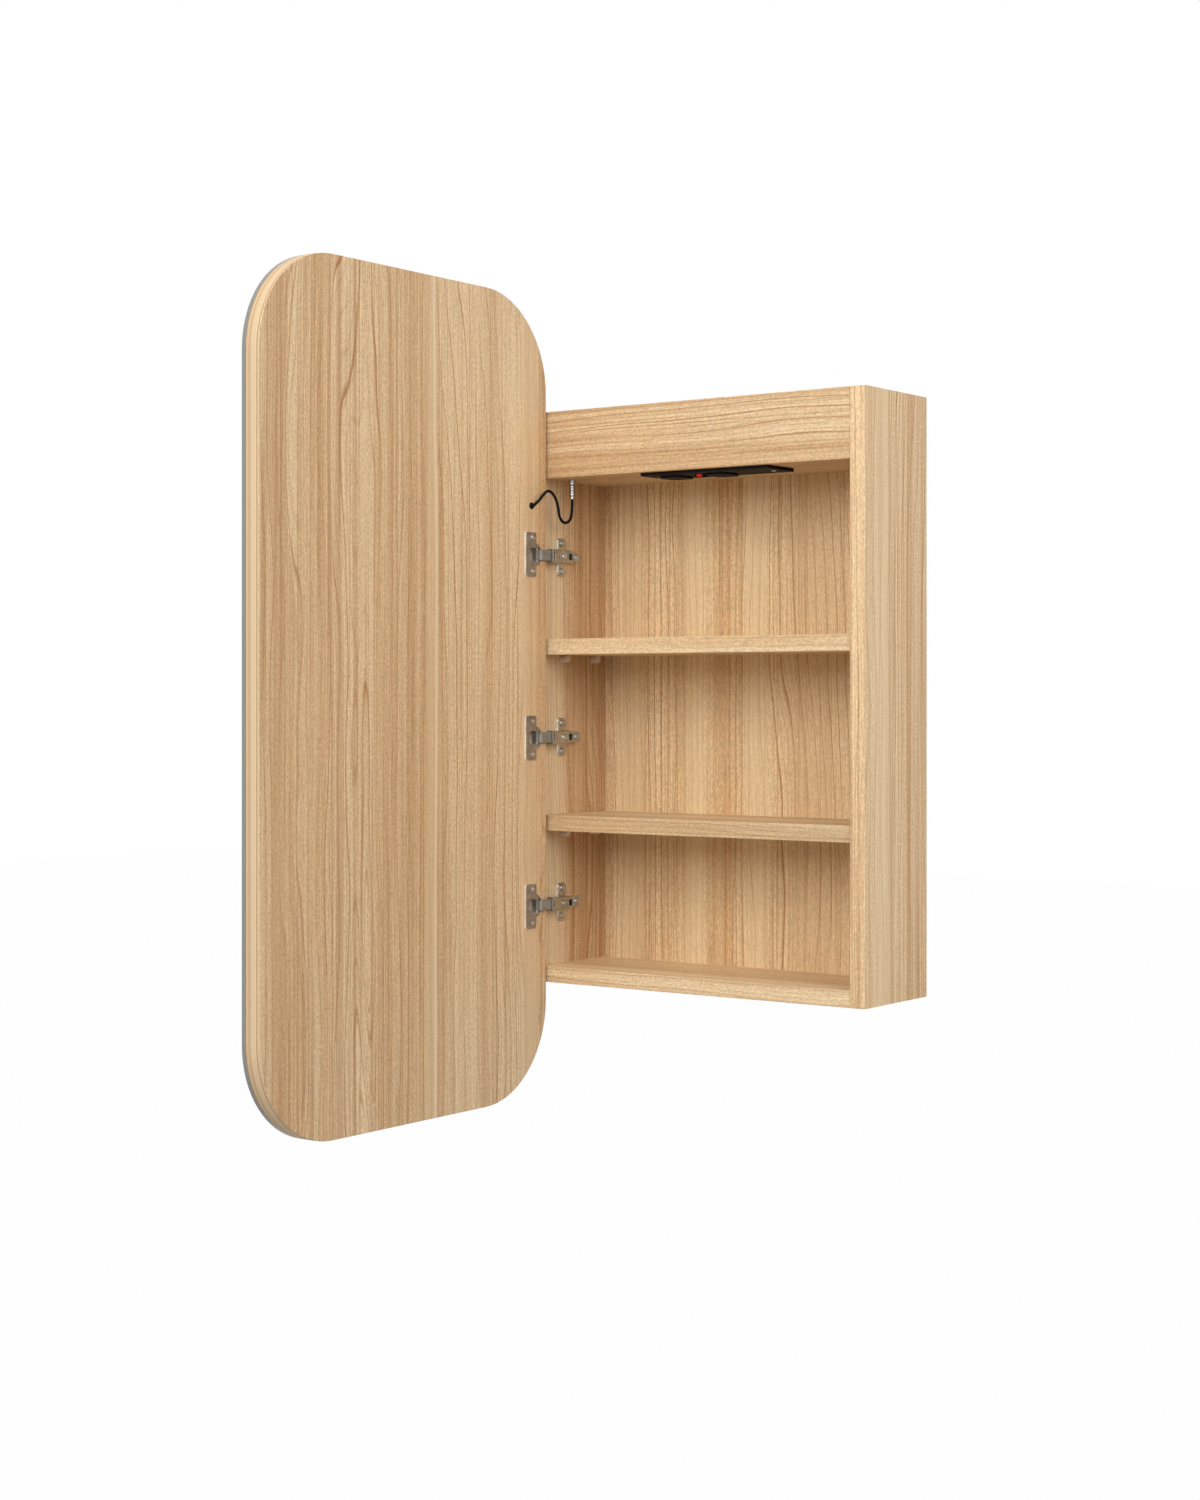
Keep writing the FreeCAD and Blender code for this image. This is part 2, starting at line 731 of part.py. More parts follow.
def hinge_cup(height, pin):
    """A drawn cup sunk in the door, its flange D-shaped towards the hinge edge."""
    face_top = door_face + flange_thickness
    flange = standing_plate(door_edge - flange_far, door_edge - flange_near, height - flange_height / 2,
                            height + flange_height / 2, flange_corner, door_face, face_top)
    rim = rod(cup_radius, door_face, cup_y, height, ALONG_X, cup_rim)
    can = rod(cup_radius, door_face, cup_y, height, ALONG_X * -1, cup_depth)
    hollow = rod(cup_radius - cup_wall, face_top, cup_y, height, ALONG_X * -1,
                 cup_depth + flange_thickness - cup_wall)
    pocket_half = cup_pocket_width / 2
    pocket = hollow.common(block(door_back, face_top, cup_y - cup_radius, cup_y + cup_radius,
                                 height - pocket_half, height + pocket_half))
    cup = can.fuse(rim).fuse(flange).removeSplitter().cut(pocket)
    return cup.cut(pin).cut(cup_screws)


def hinge_link(height):
    """A cranked plate: an eye on the arm pin, a run over the door's edge and a drop to the cup pin."""
    low = height - link_width / 2
    half = link_thickness / 2
    crest = door_face + link_rise
    drop_y = cup_pin_y
    run = [Vector(arm_pin_x - half, arm_pin_y, low), Vector(crest - half, drop_y + half, low),
           Vector(cup_pin_x, drop_y + half, low), Vector(cup_pin_x, drop_y - half, low),
           Vector(crest + half, drop_y - half, low), Vector(arm_pin_x + half, arm_pin_y, low),
           Vector(arm_pin_x - half, arm_pin_y, low)]
    plate = Part.Face(Part.makePolygon(run)).extrude(Vector(0, 0, link_width))
    outer = Vector(crest + half, drop_y - half, height)
    inner = Vector(crest - half, drop_y + half, height)
    bends = [(edge, link_bend if (edge.CenterOfMass - outer).Length < half else link_bend - link_thickness)
             for edge in plate.Edges
             if min((edge.CenterOfMass - outer).Length, (edge.CenterOfMass - inner).Length) < half]
    for edge, radius in bends:
        match = [other for other in plate.Edges if (other.CenterOfMass - edge.CenterOfMass).Length < 1e-6]
        plate = plate.makeFillet(radius, match)
    for x, y in ((arm_pin_x, arm_pin_y), (cup_pin_x, cup_pin_y)):
        plate = plate.fuse(upright(link_eye_radius, x, y, height, link_width))
    plate = plate.removeSplitter()
    for x, y in ((arm_pin_x, arm_pin_y), (cup_pin_x, cup_pin_y)):
        plate = plate.cut(upright(pin_radius + running_clearance, x, y, height, 2 * link_width))
    return plate


def mounting_plate(height):
    """A cross-shaped plate: two wings with screws and a rail for the arm."""
    wing = standing_plate(plate_y - plate_wing_width / 2, plate_y + plate_wing_width / 2,
                          height - plate_wing_height / 2, height + plate_wing_height / 2, plate_wing_corner,
                          left_inner, left_inner + plate_wing_thickness)
    wing_face = left_inner + plate_wing_thickness
    wing = eased(wing, lambda p: near(p.x, wing_face), plate_wing_round)
    rail_half = arm_width / 2 - arm_cheek - rail_clearance
    rail = block(left_inner, left_inner + rail_top, front + rail_front, front + rail_back,
                 height - rail_half, height + rail_half)
    return wing.fuse(rail).removeSplitter().cut(plate_screws)


def hinge_arm(height):
    """A folded channel with an open nose round the link and a low tail screwed to the rail."""
    low = height - arm_width / 2
    top = left_inner + arm_top
    shell = block(left_inner + arm_cheek_low, top, front + arm_nose, front + arm_back, low, low + arm_width)
    shell = eased(shell, lambda p: near(p.x, top) and not near(p.z, height), arm_round)
    inside = block(left_inner, top - arm_sheet, front, front + arm_back, low + arm_cheek,
                   low + arm_width - arm_cheek)
    lean = [Vector(left_inner, front, low), Vector(left_inner + arm_cheek_front_low, front, low),
            Vector(left_inner + arm_cheek_low, front + rail_front, low),
            Vector(left_inner, front + rail_front, low), Vector(left_inner, front, low)]
    nose_cut = Part.Face(Part.makePolygon(lean)).extrude(Vector(0, 0, arm_width))
    shell = shell.cut(inside).cut(nose_cut)
    tail_low = left_inner + rail_top
    tail = block(tail_low, tail_low + arm_sheet, front + arm_back - arm_sheet, front + arm_tail_end,
                 height - arm_tail_width / 2, height + arm_tail_width / 2)
    riser = block(tail_low, top, front + arm_back - arm_sheet, front + arm_back,
                  height - arm_tail_width / 2, height + arm_tail_width / 2)
    slot = block(top - 2 * arm_sheet, top + arm_sheet, front + arm_slot_from_front - arm_slot_length / 2,
                 front + arm_slot_from_front + arm_slot_length / 2, height - arm_slot_width / 2,
                 height + arm_slot_width / 2)
    slit = block(top - 2 * arm_sheet, top + arm_sheet, front + arm_slit_from_front - arm_slit_width / 2,
                 front + arm_slit_from_front + arm_slit_width / 2, height - arm_slit_length / 2,
                 height + arm_slit_length / 2)
    arm = shell.fuse(tail).fuse(riser).removeSplitter().cut(slot).cut(slit)
    for side in (-1, 1):
        outer_z = height + side * arm_width / 2
        corner = [Vector(left_inner, front + arm_back, outer_z),
                  Vector(left_inner, front + arm_back - arm_taper_length, outer_z),
                  Vector(left_inner, front + arm_back, outer_z - side * arm_taper_width),
                  Vector(left_inner, front + arm_back, outer_z)]
        arm = arm.cut(Part.Face(Part.makePolygon(corner)).extrude(Vector(arm_top, 0, 0)))
    return arm


for name, height in hinge_heights.items():
    cup_pin = upright(pin_radius, cup_pin_x, cup_pin_y, height, cup_pin_length)
    arm_pin = upright(pin_radius, arm_pin_x, arm_pin_y, height, arm_width)
    cup_pins.append(cup_pin)
    arm_pins.append(arm_pin)

    arm_face = left_inner + arm_top
    screw_y = front + adjusting_screw_from_front
    head = recessed_head(arm_screw_head_radius, arm_screw_head, arm_face, screw_y, height, ALONG_X)
    shank = rod(adjusting_screw_radius, arm_face, screw_y, height, ALONG_X * -1, arm_top - rail_top)
    adjusting_screw = head.fuse(shank).removeSplitter()
    adjusting_screws.append(adjusting_screw)

    tail_face = left_inner + rail_top + arm_sheet
    screw_y = front + tail_screw_from_front
    head = recessed_head(arm_screw_head_radius, arm_screw_head, tail_face, screw_y, height, ALONG_X)
    shank = rod(tail_screw_radius, tail_face, screw_y, height, ALONG_X * -1, tail_screw_length)
    tail_screw = head.fuse(shank).removeSplitter()
    tail_screws.append(tail_screw)

    save(name + "_hinge_cup", hinge_cup(height, cup_pin))
    save(name + "_hinge_link", hinge_link(height))
    save(name + "_hinge_arm", hinge_arm(height).cut(arm_pin).cut(adjusting_screw).cut(tail_screw))
    save(name + "_mounting_plate", mounting_plate(height).cut(tail_screw))

save("cup_pins", *cup_pins)
save("arm_pins", *arm_pins)
save("arm_adjusting_screws", *adjusting_screws)
save("arm_tail_screws", *tail_screws)

print("cup pin", round(cup_pin_x, 3), round(cup_pin_y, 3))
print("arm pin", round(arm_pin_x, 3), round(arm_pin_y, 3))
closed_pin_x = closed_edge + cup_pin_from_edge
closed_pin_y = closed_face - cup_pin_depth
open_angle = math.atan2(cup_pin_y - arm_pin_y, cup_pin_x - arm_pin_x)
closed_angle = math.atan2(closed_pin_y - arm_pin_y, closed_pin_x - arm_pin_x)
link_turn = math.degrees(closed_angle - open_angle)
print("link turn", round(link_turn, 4), "door turn on the link", round(90 - link_turn, 4),
      "ratio", round(link_turn / (90 - link_turn), 6))
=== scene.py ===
import math
from collections import namedtuple

import bpy
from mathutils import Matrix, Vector


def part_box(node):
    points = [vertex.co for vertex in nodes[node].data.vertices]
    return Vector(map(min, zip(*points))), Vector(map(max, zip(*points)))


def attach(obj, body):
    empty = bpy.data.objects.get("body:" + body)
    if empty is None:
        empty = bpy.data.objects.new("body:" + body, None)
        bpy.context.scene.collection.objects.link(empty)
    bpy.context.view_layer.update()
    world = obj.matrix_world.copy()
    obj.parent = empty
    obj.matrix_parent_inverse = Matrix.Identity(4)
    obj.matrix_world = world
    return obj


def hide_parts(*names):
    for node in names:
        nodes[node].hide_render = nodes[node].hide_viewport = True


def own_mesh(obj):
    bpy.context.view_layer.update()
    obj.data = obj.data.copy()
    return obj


# Shaving cabinet with a mirror door, open as in the photo. Every CAD node keeps its own mesh and gets a
# material; the door cable alone is made again, as a smooth soft piece. Lengths are in metres, colours linear.

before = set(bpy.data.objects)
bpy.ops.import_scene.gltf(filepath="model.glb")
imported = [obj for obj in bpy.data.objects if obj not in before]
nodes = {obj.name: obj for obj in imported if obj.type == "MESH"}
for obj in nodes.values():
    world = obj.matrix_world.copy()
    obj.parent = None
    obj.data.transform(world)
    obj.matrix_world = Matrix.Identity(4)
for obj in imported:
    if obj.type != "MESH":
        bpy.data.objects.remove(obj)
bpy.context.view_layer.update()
scene = bpy.context.scene

# Noise over a board: waves in a metre across and along the grain, detail and roughness
Field = namedtuple("Field", "across along detail roughness", defaults=(1.0, 0.5))
# A smooth step: the readings at its foot and head, and what they turn into
Ramp = namedtuple("Ramp", "foot head at_foot at_head", defaults=(0.0, 1.0))
# A line along the grain: its place across the board, how far it reaches, how much it covers, and its tone
Streak = namedtuple("Streak", "place reach share tone")
# A soft square lamp: mirrored tells if polished pieces show it
Lamp = namedtuple("Lamp", "name place aim size power mirrored", defaults=(True,))

# Camera: level, a little to the right of the cabinet; turn in degrees, lens and sensor in millimetres
CAMERA_PLACE = (1.4793, -2.3367, 0.0)
CAMERA_TURN = 35.96
CAMERA_LENS = 58.46
CAMERA_SENSOR = 36.0
CAMERA_SHIFT_Y = -0.0353

# Cable from the plug's tip to the grommet on the door
CABLE_DIAMETER = 0.0032
CABLE_SIDES = 14
CABLE_CURVE_ORDER = 3
CABLE_CURVE_STEPS = 10
CABLE_ROUTE = [
    (-0.1804, -0.1030, 0.2258),
    (-0.1804, -0.1032, 0.2192),
    (-0.1804, -0.1037, 0.2125),
    (-0.1805, -0.1047, 0.2047),
    (-0.1808, -0.1110, 0.1984),
    (-0.1812, -0.1199, 0.1984),
    (-0.1815, -0.1262, 0.2047),
    (-0.1816, -0.1279, 0.2150),
    (-0.1815, -0.1325, 0.2245),
    (-0.1812, -0.1402, 0.2314),
    (-0.1808, -0.1496, 0.2329),
    (-0.1808, -0.1576, 0.2272),
    (-0.1824, -0.1630, 0.2202),
    (-0.1886, -0.1650, 0.2150),
]

# Wood tones: the pale ground, the common ground, a warmer one, the brown late-wood lines and a whitish streak
WOOD_PALE = (0.820, 0.615, 0.375)
WOOD_GROUND = (0.660, 0.440, 0.236)
WOOD_WARM = (0.670, 0.432, 0.234)
WOOD_LINE = (0.375, 0.152, 0.042)
WOOD_WHITISH = (0.88, 0.70, 0.48)
WOOD_SPECULAR = 0.32
# A board's seed times this moves its grain to another part of the noise
SEED_STEPS = (1.7, 0.9, 2.3)

# Growth rings in a metre across the grain, on most boards and on those with closer ones
RINGS = 62.0
CLOSE_RINGS = 88.0
# Fields that carry the rings aside, and by how many rings: those that a board's wave scales, and a tremble
RING_WAVES = ((Field(4.5, 0.45), 8.5), (Field(9.0, 2.4), 3.4), (Field(26.0, 5.0), 1.1))
RING_TREMBLE = (Field(60.0, 5.0), 0.20)
# Leaf-shaped figure: the rings drawn into long swirls, in some zones of a board
LEAF_FIELD = Field(19.0, 1.7)
LEAF_ZONE_FIELD = Field(7.0, 0.7)
LEAF_ZONE = Ramp(0.42, 0.58)
# Each ring darkens to its end, in a line whose width is a share of a ring of the usual density
RING_SHARE = 0.12
LINE_WIDTH = 0.12
LINE_FULL = 0.3
LINE_END = Ramp(0.97, 1.0, 1.0, 0.0)
LINE_FIELD = Field(22.0, 0.9, 2.0)
LINE_PRESENCE = Ramp(0.38, 0.64, 0.06, 1.0)
LINE_SHARE = 0.92
# Finer lines, so many to a ring
FINE_RATE = 3.37
FINE_START = Ramp(0.72, 0.94)
FINE_END = Ramp(0.94, 1.0, 1.0, 0.0)
FINE_FIELD = Field(17.0, 1.3, 2.0)
FINE_PRESENCE = Ramp(0.36, 0.62, 0.10, 1.0)
FINE_SHARE = 0.56
# Pale bands: a field, with a chance step for so many bands to a ring
BANDS_TO_RING = 0.5
BAND_CHANCE = 0.14
BAND_FIELD = Field(22.0, 0.30, 2.0, 0.60)
BAND_PALE = Ramp(0.41, 0.73)
# Ground, hair lines, pores in groups, fibres and grit
GROUND_FIELD = Field(13.0, 0.8)
GROUND_WARM = Ramp(0.36, 0.64)
HAIR_FIELD = Field(360.0, 2.0, 2.0, 0.6)
HAIR_PALE = Ramp(0.34, 0.48, 0.50, 0.0)
HAIR_DARK = Ramp(0.50, 0.66, 0.0, 0.46)
PORE_FIELD = Field(700.0, 44.0)
PORE_RAMP = Ramp(0.54, 0.70)
PORE_GROUP_FIELD = Field(45.0, 2.4)
PORE_GROUP = Ramp(0.36, 0.62, 0.35, 1.0)
PORE_SHARE = 0.24
FIBRE_FIELD = Field(820.0, 52.0, 3.0, 0.65)
FIBRE_TONE = Ramp(0.28, 0.72, 0.94, 1.08)
FIBRE_ROUGHNESS = Ramp(0.2, 0.8, 0.43, 0.58)
GRIT_FIELD = Field(640.0, 300.0)
GRIT_TONE = Ramp(0.24, 0.76, 0.85, 1.15)
# Relief: depth of the lines beside the pores, then the strength and distance of the bump
LINE_DEPTH = 0.5
GRAIN_BUMP = (0.18, 0.0004)
# Streaks wander by a field, and are full over the inner share of their reach
WANDER_FIELD = Field(9.0, 2.6)
WANDER = 0.010
STREAK_CORE = 0.35
# The strip round the door's edge, found by how squarely its surface looks along X, is darker than its face:
# painted shade
EDGE_BAND = Ramp(0.45, 0.55, 1.0, 0.0)
EDGE_BAND_SHADE = 0.93

# Noises vary the roughness of metal and plastic upwards from this much under the given one
ROUGHNESS_DROP = 0.12
# Metal: noise scales for each metre, along X, Y and Z where they differ
DRAWN_GRAIN = (900.0, 60.0, 900.0)
LINK_GRAIN = (300.0, 60.0, 900.0)
EVEN_GRAIN = (900.0, 900.0, 900.0)
DRAWN_TONE = Ramp(0.25, 0.75, 0.86, 1.10)
DRAWN_ROUGHNESS = 0.10
DRAWN_BUMP = (0.10, 0.0002)
SMUDGE_SCALE = 110.0
SMUDGE_DULL = 0.20
SMUDGE_ROUGHNESS = 0.18
# Painted highlight on plate edges, full where the surface looks less squarely along X
EDGE_HIGHLIGHT_RAMP = Ramp(0.3, 0.6, 1.0, 0.0)
# Blur at the edge of the pocket's painted light
LIT_POCKET_BLUR = 0.0003
WORN_EDGE = 0.00045
# Thickness of the hinge cup's flange, with a little of the pocket's lip; below it the cup gets painted light
CUP_FLANGE = 0.0021

# Plastic
CLOUD_SCALE = 40.0
CLOUD_TONE = Ramp(0.2, 0.8, 0.90, 1.08)
CLOUD_ROUGHNESS = 0.14
SPECK_ROUGHNESS = 0.10
SPECK_DEPTH = 0.0002

# Mirror: the door's outline, the frosted band over the light strip, and tones of edge, silver, frost and back
DOOR_HALF = (0.2325, 0.450)
DOOR_CORNER = 0.108
FROST_INSET = 0.0205
FROST_WIDTH = 0.010
FROST_BLUR = 0.0004
FACING = Ramp(0.6, 0.9)
GLASS_EDGE_DARK = (0.222, 0.230, 0.214)
GLASS_EDGE_PALE = (0.276, 0.284, 0.264)
GLASS_SPECKLE_SCALE = 2600.0
GLASS_SPECKLE = Ramp(0.3, 0.7)
SILVER_TONE = (0.80, 0.835, 0.83)
FROST_TONE = (0.66, 0.69, 0.68)
GLASS_BACK_TONE = (0.10, 0.13, 0.13)
GLASS_EDGE_ROUGHNESS = 0.24
SILVER_SMOOTHS = 0.22
FROST_ROUGHENS = 0.48
FROST_BUMP = (0.05, 0.0001)

# Light strip: lamps in a metre, half a lamp's length as a share of its step, and tones
STRIP_LAMPS = 120.0
STRIP_LAMP = Ramp(0.16, 0.20, 1.0, 0.0)
STRIP_BACKING = (0.80, 0.80, 0.76)
STRIP_PHOSPHOR = (0.86, 0.70, 0.22)
STRIP_DUST_SCALE = 600.0
STRIP_DUST_DEPTH = 0.1
STRIP_ROUGHNESS = Ramp(0.2, 0.8, 0.35, 0.55)
STRIP_BUMP = (0.3, 0.0005)

# Plug: heights at which its turned steps meet, the painted shade in the creases there, and its finish
PLUG_STEPS = (0.2416, 0.2387, 0.2358, 0.2329, 0.2296)
PLUG_STEP_SHADE = Ramp(0.0002, 0.0006, 0.35, 1.0)
PLUG_NICKEL = (0.52, 0.53, 0.53)
PLUG_TURNING = 9000.0
PLUG_BUMP = (0.10, 0.0002)
PLUG_SMUDGE_SCALE = 160.0
PLUG_SMUDGE_TONE = Ramp(0.2, 0.8, 0.86, 1.06)
PLUG_ROUGHNESS = Ramp(0.2, 0.8, 0.18, 0.30)

# Studio: a floor far below the hanging cabinet, nearly all white where it is seen; soft fill and lamps in watts
WHITE = (1.0, 1.0, 1.0, 1.0)
FLOOR_HEIGHT = -1.35
FLOOR_REACH = 14.0
FLOOR_MATT = (0.34, 0.335, 0.33, 1.0)
FLOOR_WHITE_SHARE = 0.985
AMBIENT = 0.50
LAMPS = (
    Lamp("front_light", place=(0.3, -3.2, 1.4), aim=(0.0, -0.2, 0.0), size=(2.4, 2.0), power=58.0),
    Lamp("right_light", place=(3.0, -1.4, 1.2), aim=(0.0, -0.3, 0.0), size=(2.0, 2.0), power=50.0),
    Lamp("left_light", place=(-2.6, -2.0, 2.2), aim=(0.0, -0.2, 0.0), size=(1.8, 1.8), power=16.0,
         mirrored=False),
)


class Graph:
    """Builds one material's nodes with short calls."""

    def __init__(self, name):
        self.material = bpy.data.materials.new(name)
        self.material.use_nodes = True
        self.tree = self.material.node_tree
        self.shader = self.tree.nodes["Principled BSDF"]
        coords = self.tree.nodes.new("ShaderNodeTexCoord")
        self.place = coords.outputs["Object"]
        self.normal = coords.outputs["Normal"]

    def put(self, socket, value):
        if isinstance(value, bpy.types.NodeSocket):
            self.tree.links.new(value, socket)
        elif isinstance(value, tuple) and len(value) == 3 and socket.type == "RGBA":
            socket.default_value = (*value, 1.0)
        else:
            socket.default_value = value

    def math(self, operation, *values):
        node = self.tree.nodes.new("ShaderNodeMath")
        node.operation = operation
        for socket, value in zip(node.inputs, values):
            self.put(socket, value)
        return node.outputs[0]

    def split(self, vector):
        node = self.tree.nodes.new("ShaderNodeSeparateXYZ")
        self.put(node.inputs[0], vector)
        return node.outputs[0], node.outputs[1], node.outputs[2]

    def join(self, x, y, z):
        node = self.tree.nodes.new("ShaderNodeCombineXYZ")
        for socket, value in zip(node.inputs, (x, y, z)):
            self.put(socket, value)
        return node.outputs[0]

    def stretch(self, vector, scale, shift=(0.0, 0.0, 0.0)):
        node = self.tree.nodes.new("ShaderNodeMapping")
        self.put(node.inputs["Vector"], vector)
        node.inputs["Scale"].default_value = scale
        node.inputs["Location"].default_value = shift
        return node.outputs[0]

    def noise(self, vector, scale=1.0, detail=2.0, roughness=0.5):
        node = self.tree.nodes.new("ShaderNodeTexNoise")
        self.put(node.inputs["Vector"], vector)
        node.inputs["Scale"].default_value = scale
        node.inputs["Detail"].default_value = detail
        node.inputs["Roughness"].default_value = roughness
        return node.outputs["Fac"]

    def chance(self, step):
        """A value from nought to one that is the same all over a whole number's step."""
        node = self.tree.nodes.new("ShaderNodeTexWhiteNoise")
        node.noise_dimensions = "1D"
        self.put(node.inputs["W"], self.math("FLOOR", step))
        return node.outputs["Value"]

    def spread(self, value, ramp):
        node = self.tree.nodes.new("ShaderNodeMapRange")
        node.interpolation_type = "SMOOTHSTEP"
        for socket, given in zip(node.inputs, (value, *ramp)):
            self.put(socket, given)
        return node.outputs[0]

    def away(self, value, middle):
        """How far a value lies from a middle one."""
        return self.math("ABSOLUTE", self.math("SUBTRACT", value, middle))

    def facing_x(self):
        """One where the surface looks along X, either way."""
        return self.math("ABSOLUTE", self.split(self.normal)[0])

    def mix(self, share, first, second, blend="MIX"):
        node = self.tree.nodes.new("ShaderNodeMix")
        node.data_type = "RGBA"
        node.blend_type = blend
        self.put(node.inputs["Factor"], share)
        first_colour, second_colour = [socket for socket in node.inputs if socket.type == "RGBA"]
        self.put(first_colour, first)
        self.put(second_colour, second)
        return [socket for socket in node.outputs if socket.type == "RGBA"][0]

    def shade(self, colour, level):
        """The colour made lighter or darker by a level."""
        return self.mix(1.0, colour, self.join(level, level, level), "MULTIPLY")

    def bump(self, height, strength, distance, edge=0.0):
        """Relief from a height; edge is the radius that sharp corners are seen to have."""
        node = self.tree.nodes.new("ShaderNodeBump")
        if edge:
            soft = self.tree.nodes.new("ShaderNodeBevel")
            soft.inputs["Radius"].default_value = edge
            self.put(node.inputs["Normal"], soft.outputs[0])
        self.put(node.inputs["Height"], height)
        node.inputs["Strength"].default_value = strength
        node.inputs["Distance"].default_value = distance
        self.put(self.shader.inputs["Normal"], node.outputs[0])

    def finish(self, **inputs):
        for name, value in inputs.items():
            self.put(self.shader.inputs[name.replace("_", " ")], value)
        return self.material


def times(ramp, factor):
    """A ramp whose two results are both scaled."""
    return ramp._replace(at_foot=ramp.at_foot * factor, at_head=ramp.at_head * factor)


def wood(name, axes, seed, streaks=(), tone=(1.0, 1.0, 1.0), banded=False, wave=1.0, rings=RINGS,
         figure=1.0, leaf=0.0):
    """Pale wood-grain laminate.

    axes are the one across the grain, the one into the board and the one along the grain. Streaks are pale
    or dark lines along the grain. A banded board has its edges covered with a strip whose grain runs round
    the outline, darkened as painted shade. wave is how far the lines wander, rings how many lie in a metre,
    figure how strong they are and leaf by how many rings the leaf-shaped figure draws them aside. tone makes
    the whole board a lighter or darker copy of the wood: painted light and shade in place of the light each
    board gets.
    """
    g = Graph(name)
    by_axis = dict(zip("xyz", g.split(g.place)))
    side, depth, length = [by_axis[axis] for axis in axes]
    if banded:
        on_edge = g.spread(g.facing_x(), EDGE_BAND)
        on_face = g.math("SUBTRACT", 1.0, on_edge)
        side = g.math("MULTIPLY", side, on_face)
        length = g.math("MULTIPLY", length, on_face)
    face = g.join(side, depth, length)
    shift = tuple(seed * step for step in SEED_STEPS)

    def read(field):
        scale = (field.across, field.across, field.along)
        return g.noise(g.stretch(face, scale, shift), detail=field.detail, roughness=field.roughness)

    # Growth rings: each ends in a thin crisp line, some strong and some faint, with finer lines between
    warp = 0.0
    for field, amount in RING_WAVES:
        warp = g.math("MULTIPLY_ADD", read(field), amount * wave, warp)
    field, amount = RING_TREMBLE
    warp = g.math("MULTIPLY_ADD", read(field), amount, warp)
    if leaf:
        zone = g.spread(read(LEAF_ZONE_FIELD), times(LEAF_ZONE, leaf))
        warp = g.math("MULTIPLY_ADD", read(LEAF_FIELD), zone, warp)
    growth = g.math("MULTIPLY_ADD", g.math("ADD", side, depth), rings, warp)
    ring = g.math("FRACT", growth)
    width = LINE_WIDTH * rings / RINGS
    line_start = Ramp(1.0 - width, 1.0 - LINE_FULL * width)
    line = g.math("MULTIPLY", g.spread(ring, line_start), g.spread(ring, LINE_END))
    line = g.math("MULTIPLY", line, g.spread(read(LINE_FIELD), LINE_PRESENCE))
    fine = g.math("FRACT", g.math("MULTIPLY", growth, FINE_RATE))
    fine_line = g.math("MULTIPLY", g.spread(fine, FINE_START), g.spread(fine, FINE_END))
    fine_line = g.math("MULTIPLY", fine_line, g.spread(read(FINE_FIELD), FINE_PRESENCE))

    # Bands of tone, some bounded by a ring, then hair lines, pores and fibres
    chance = g.chance(g.math("MULTIPLY_ADD", growth, BANDS_TO_RING, seed))
    band = g.math("MULTIPLY_ADD", chance, BAND_CHANCE, read(BAND_FIELD))
    hair = read(HAIR_FIELD)
    pores = g.math("MULTIPLY", g.spread(read(PORE_FIELD), PORE_RAMP),
                   g.spread(read(PORE_GROUP_FIELD), PORE_GROUP))
    fibre = read(FIBRE_FIELD)

    colour = g.mix(g.spread(read(GROUND_FIELD), GROUND_WARM), WOOD_GROUND, WOOD_WARM)
    colour = g.mix(g.spread(band, BAND_PALE), colour, WOOD_PALE)
    colour = g.mix(g.math("MULTIPLY", ring, RING_SHARE), colour, WOOD_LINE)
    colour = g.mix(g.spread(hair, times(HAIR_PALE, figure)), colour, WOOD_PALE)
    colour = g.mix(g.spread(hair, times(HAIR_DARK, figure)), colour, WOOD_LINE)
    colour = g.mix(g.math("MULTIPLY", fine_line, FINE_SHARE * figure), colour, WOOD_LINE)
    colour = g.mix(g.math("MULTIPLY", line, LINE_SHARE * figure), colour, WOOD_LINE)
    colour = g.mix(g.math("MULTIPLY", pores, PORE_SHARE), colour, WOOD_LINE)
    colour = g.shade(colour, g.spread(fibre, FIBRE_TONE))
    colour = g.shade(colour, g.spread(read(GRIT_FIELD), GRIT_TONE))
    # Painted shade: the edge strip is darkened
    if banded:
        colour = g.shade(colour, g.math("MULTIPLY_ADD", on_edge, EDGE_BAND_SHADE - 1.0, 1.0))

    wander = g.math("MULTIPLY_ADD", g.math("SUBTRACT", read(WANDER_FIELD), 0.5), WANDER, side)
    for streak in streaks:
        fade = Ramp(streak.reach * STREAK_CORE, streak.reach, streak.share, 0.0)
        colour = g.mix(g.spread(g.away(wander, streak.place), fade), colour, streak.tone)
    # Painted light and shade: the board's tone lightens or darkens the whole wood
    colour = g.mix(1.0, colour, tone, "MULTIPLY")

    hollows = g.math("ADD", pores, g.math("MULTIPLY", line, LINE_DEPTH))
    g.bump(g.math("SUBTRACT", fibre, hollows), *GRAIN_BUMP)
    return g.finish(Base_Color=colour, Roughness=g.spread(fibre, FIBRE_ROUGHNESS),
                    Specular_IOR_Level=WOOD_SPECULAR)


